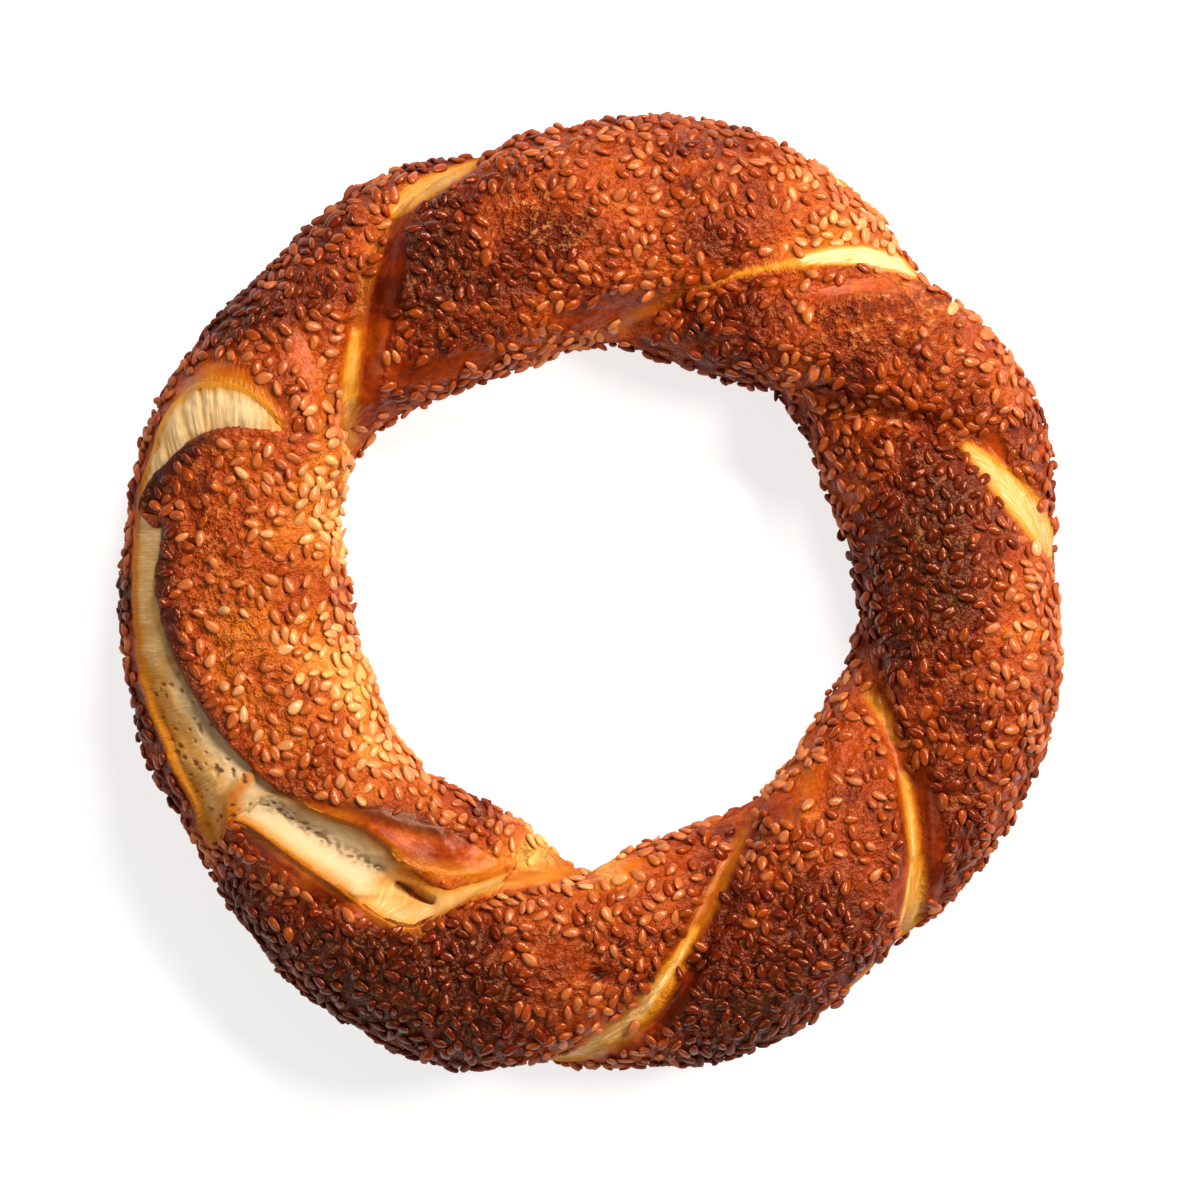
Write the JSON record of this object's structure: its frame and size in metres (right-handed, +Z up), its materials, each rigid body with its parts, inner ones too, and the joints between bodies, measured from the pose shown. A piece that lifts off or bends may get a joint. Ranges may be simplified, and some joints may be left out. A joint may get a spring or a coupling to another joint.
{
  "type": "simit",
  "caption": "Sesame bread ring of two strands twisted round each other and joined, with an open hole and a burst in its crust.",
  "frame": {"origin": "centre of the ring's outline, at the level of the table it lies on", "axes": "+Z up through the hole, +Y towards the picture's top edge, +X towards its right edge"},
  "size_m": [0.1638, 0.1664, 0.0319],
  "materials": {
    "crust": "baked crust, golden to dark brown, half dull, with sesame seeds"
  },
  "bodies": {
    "root": {"simit": "crust"}
  },
  "joints": []
}
